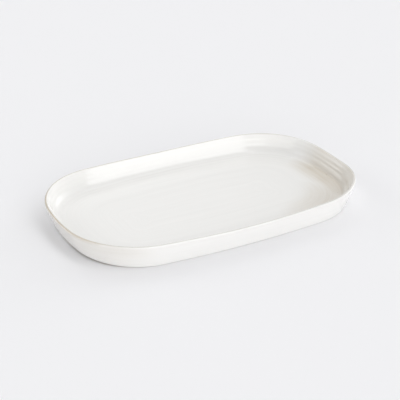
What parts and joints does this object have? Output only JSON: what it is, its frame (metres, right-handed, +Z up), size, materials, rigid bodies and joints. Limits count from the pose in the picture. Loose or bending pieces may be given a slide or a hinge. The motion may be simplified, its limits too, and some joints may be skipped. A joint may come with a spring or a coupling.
{
  "type": "serving plate",
  "caption": "Shallow oblong stoneware serving plate with bowed sides, large round corners and a low flared wall, glazed white inside and out, standing on a bare clay foot ring.",
  "frame": {"origin": "on the table, in the middle of the plate under its foot ring", "axes": "+X along the plate, +Y across it, +Z up through its open top"},
  "size_m": [0.3, 0.185, 0.0246],
  "materials": {
    "stoneware": "bare fired buff stoneware, matt",
    "white_glaze": "glossy warm white glaze, thin and buff at the lip"
  },
  "bodies": {
    "root": {"stoneware_body": "stoneware", "inside_glaze": "white_glaze", "outside_glaze": "white_glaze", "underside_glaze": "white_glaze"}
  },
  "joints": []
}
